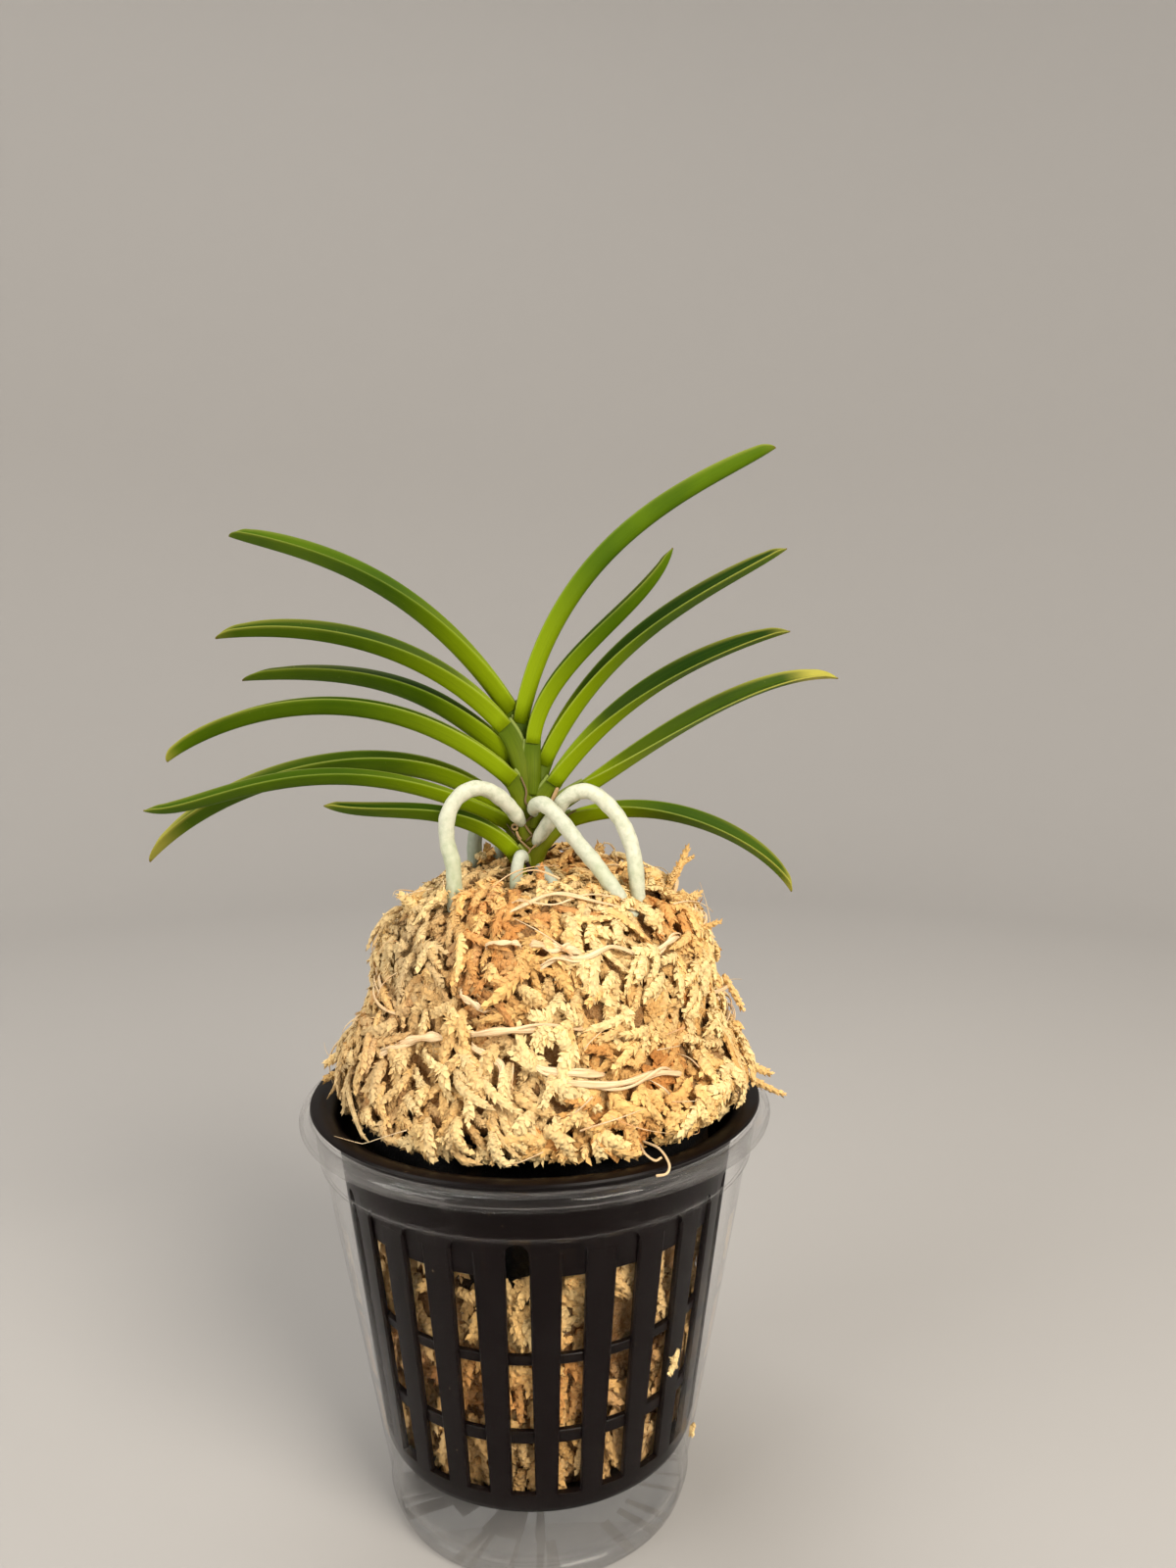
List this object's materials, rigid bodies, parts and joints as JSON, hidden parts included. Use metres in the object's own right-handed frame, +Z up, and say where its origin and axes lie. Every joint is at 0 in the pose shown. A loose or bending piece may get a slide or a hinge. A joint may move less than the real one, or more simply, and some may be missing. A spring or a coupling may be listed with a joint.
{
  "type": "potted wind orchid",
  "caption": "Small fan of folded strap leaves with arching aerial roots on a mound of dried moss, in a slotted black net pot hung in a clear tapered cup.",
  "frame": {"origin": "middle of the cup's flat foot, on the surface that it stands on", "axes": "+Z up, +X to the right along the fan of leaves as seen from its front, -Y towards the front of the fan"},
  "size_m": [0.1405, 0.093, 0.2093],
  "materials": {
    "clear_plastic": "gloss",
    "black_plastic": "satin",
    "dried_moss": "matte",
    "leaf_green": "satin",
    "sheath_green": "satin",
    "root_silver": "matte"
  },
  "bodies": {
    "root": {"cup": "clear_plastic", "net_pot": "black_plastic", "moss": "dried_moss", "stem": "sheath_green", "leaf_left_1": "leaf_green", "leaf_left_2": "leaf_green", "leaf_left_3": "leaf_green", "leaf_left_4": "leaf_green", "leaf_left_5": "leaf_green", "leaf_left_6": "leaf_green", "leaf_left_7": "leaf_green", "leaf_right_1": "leaf_green", "leaf_right_2": "leaf_green", "leaf_right_3": "leaf_green", "leaf_right_4": "leaf_green", "leaf_right_5": "leaf_green", "leaf_right_6": "leaf_green", "root_front_left_arch": "root_silver", "root_front_right_arch": "root_silver", "root_front_diagonal": "root_silver", "root_back_left": "root_silver", "root_back_small": "root_silver", "root_stub": "root_silver", "root_low_right": "root_silver"}
  },
  "joints": []
}
